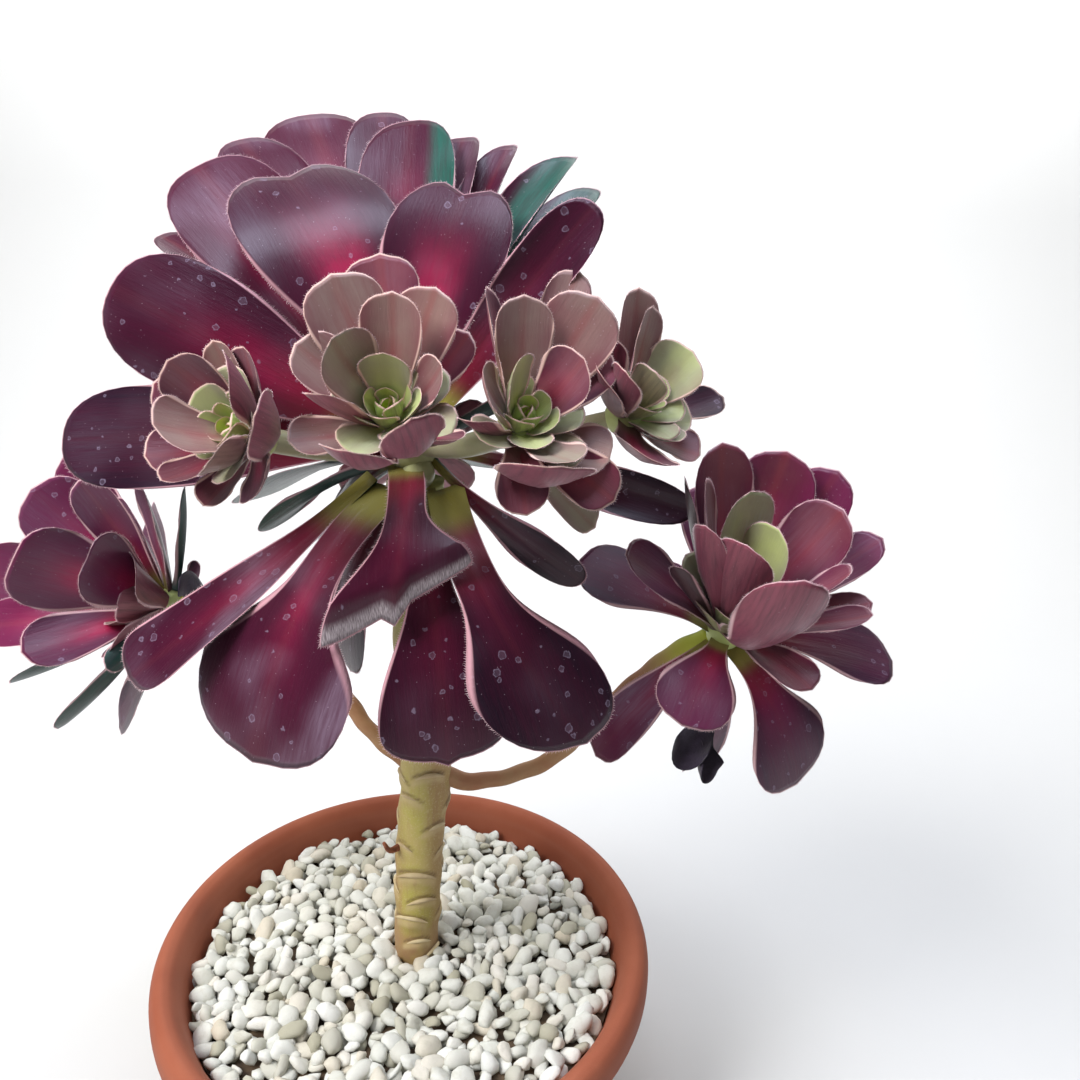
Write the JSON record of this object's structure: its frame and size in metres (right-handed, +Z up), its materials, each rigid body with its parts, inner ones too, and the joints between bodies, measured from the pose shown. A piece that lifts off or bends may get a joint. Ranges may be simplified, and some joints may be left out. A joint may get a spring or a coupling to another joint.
{
  "type": "potted tree aeonium",
  "caption": "Tree aeonium in a gravel-topped terracotta bowl: a branched bare stem carries one large wine-red rosette with small green-hearted offsets round it.",
  "frame": {"origin": "middle of the pot's flat underside, on the surface it stands on", "axes": "+Z up; -Y is the plant's front, where most rosettes face; +X is the viewer's right from the front"},
  "size_m": [0.3694, 0.214, 0.4324],
  "materials": {
    "terracotta": "unglazed fired clay, matt",
    "potting_mix": "dark crumbly potting mix",
    "gravel": "pale grey-green rounded pebbles",
    "stem": "smooth yellow-green bark with leaf scars",
    "wine_leaf": "wine-red leaf, velvety, pale hairy margin",
    "offset_leaf": "taupe to green leaf with a pink margin"
  },
  "bodies": {
    "root": {"pot": "terracotta", "potting_mix": "potting_mix", "gravel": "gravel", "stem": "stem", "mother_rosette": "wine_leaf", "offset_rosette_front": "offset_leaf", "offset_rosette_left": "offset_leaf", "offset_rosette_right": "offset_leaf", "offset_rosette_outer": "offset_leaf", "offset_rosette_back": "offset_leaf", "branch_rosette_right": "wine_leaf", "branch_rosette_left": "wine_leaf"}
  },
  "joints": []
}
